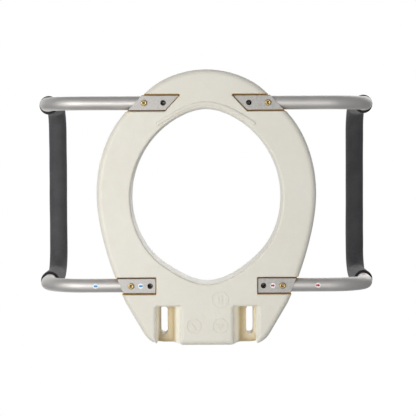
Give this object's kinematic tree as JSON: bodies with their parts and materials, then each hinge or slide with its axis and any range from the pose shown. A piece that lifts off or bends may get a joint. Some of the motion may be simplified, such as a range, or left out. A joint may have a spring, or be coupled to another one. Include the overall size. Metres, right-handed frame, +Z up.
{
  "type": "toilet seat riser",
  "caption": "Hollow ring that raises a toilet seat, with removable padded arms in sockets on its underside.",
  "frame": {"origin": "on the resting plane under the middle of the bounding box", "axes": "+Z up, -Y the front of the seat, +Y the hinge end, +X the seated user's left"},
  "size_m": [0.5552, 0.4424, 0.2806],
  "materials": {
    "riser_plastic": "satin moulded polyethylene",
    "socket_steel": "galvanised, spangled",
    "tube_steel": "satin plated",
    "foam_rubber": "closed-cell foam skin",
    "screw_zinc": "zinc plated, yellow passivated",
    "plain_zinc": "zinc plated",
    "dot_white": "vinyl film",
    "arrow_red": "printed film",
    "arrow_blue": "printed film"
  },
  "bodies": {
    "root": {"riser_body": "riser_plastic", "socket_front_left": "socket_steel", "socket_screw_front_left": "plain_zinc", "lock_nut_front_left": "plain_zinc", "socket_rear_left": "socket_steel", "socket_screw_rear_left": "plain_zinc", "lock_nut_rear_left": "plain_zinc", "socket_front_right": "socket_steel", "socket_screw_front_right": "plain_zinc", "lock_nut_front_right": "plain_zinc", "socket_rear_right": "socket_steel", "socket_screw_rear_right": "plain_zinc", "lock_nut_rear_right": "plain_zinc", "socket_dot_left": "dot_white", "socket_arrow_left": "arrow_red", "socket_dot_right": "dot_white", "socket_arrow_right": "arrow_blue"},
    "arm_left": {"arm_tube_left": "tube_steel", "foam_grip_left": "foam_rubber", "tube_dot_left": "dot_white", "tube_arrow_left": "arrow_red"},
    "arm_right": {"arm_tube_right": "tube_steel", "foam_grip_right": "foam_rubber", "tube_dot_right": "dot_white", "tube_arrow_right": "arrow_blue"},
    "washer_front_left": {"lock_washer_front_left": "plain_zinc"},
    "screw_front_left": {"lock_screw_front_left": "screw_zinc"},
    "washer_rear_left": {"lock_washer_rear_left": "plain_zinc"},
    "screw_rear_left": {"lock_screw_rear_left": "screw_zinc"},
    "washer_front_right": {"lock_washer_front_right": "plain_zinc"},
    "screw_front_right": {"lock_screw_front_right": "screw_zinc"},
    "washer_rear_right": {"lock_washer_rear_right": "plain_zinc"},
    "screw_rear_right": {"lock_screw_rear_right": "screw_zinc"}
  },
  "joints": [
    {"name": "arm_slide_left", "type": "slide", "parent": "root", "child": "arm_left", "axis": [1, 0, 0], "range_m": [0, 0.08]},
    {"name": "arm_slide_right", "type": "slide", "parent": "root", "child": "arm_right", "axis": [-1, 0, 0], "range_m": [0, 0.08]},
    {"name": "lock_screw_travel_front_left", "type": "slide", "parent": "root", "child": "washer_front_left", "axis": [0, 0, -1], "range_m": [0, 0.03]},
    {"name": "lock_screw_turn_front_left", "type": "hinge", "parent": "washer_front_left", "child": "screw_front_left", "pos_m": [0.099, -0.1676, 0.006], "axis": [0, 0, -1], "range_deg": [0, 10205.7]},
    {"name": "lock_screw_travel_rear_left", "type": "slide", "parent": "root", "child": "washer_rear_left", "axis": [0, 0, -1], "range_m": [0, 0.03]},
    {"name": "lock_screw_turn_rear_left", "type": "hinge", "parent": "washer_rear_left", "child": "screw_rear_left", "pos_m": [0.1214, 0.1254, 0.006], "axis": [0, 0, -1], "range_deg": [0, 10205.7]},
    {"name": "lock_screw_travel_front_right", "type": "slide", "parent": "root", "child": "washer_front_right", "axis": [0, 0, -1], "range_m": [0, 0.03]},
    {"name": "lock_screw_turn_front_right", "type": "hinge", "parent": "washer_front_right", "child": "screw_front_right", "pos_m": [-0.099, -0.1676, 0.006], "axis": [0, 0, -1], "range_deg": [0, 10205.7]},
    {"name": "lock_screw_travel_rear_right", "type": "slide", "parent": "root", "child": "washer_rear_right", "axis": [0, 0, -1], "range_m": [0, 0.03]},
    {"name": "lock_screw_turn_rear_right", "type": "hinge", "parent": "washer_rear_right", "child": "screw_rear_right", "pos_m": [-0.1214, 0.1254, 0.006], "axis": [0, 0, -1], "range_deg": [0, 10205.7]}
  ],
  "couplings": [
    {"joint": "lock_screw_turn_front_left", "follows": "lock_screw_travel_front_left", "rad_per_m": 5936.9},
    {"joint": "lock_screw_turn_rear_left", "follows": "lock_screw_travel_rear_left", "rad_per_m": 5936.9},
    {"joint": "lock_screw_turn_front_right", "follows": "lock_screw_travel_front_right", "rad_per_m": 5936.9},
    {"joint": "lock_screw_turn_rear_right", "follows": "lock_screw_travel_rear_right", "rad_per_m": 5936.9}
  ]
}
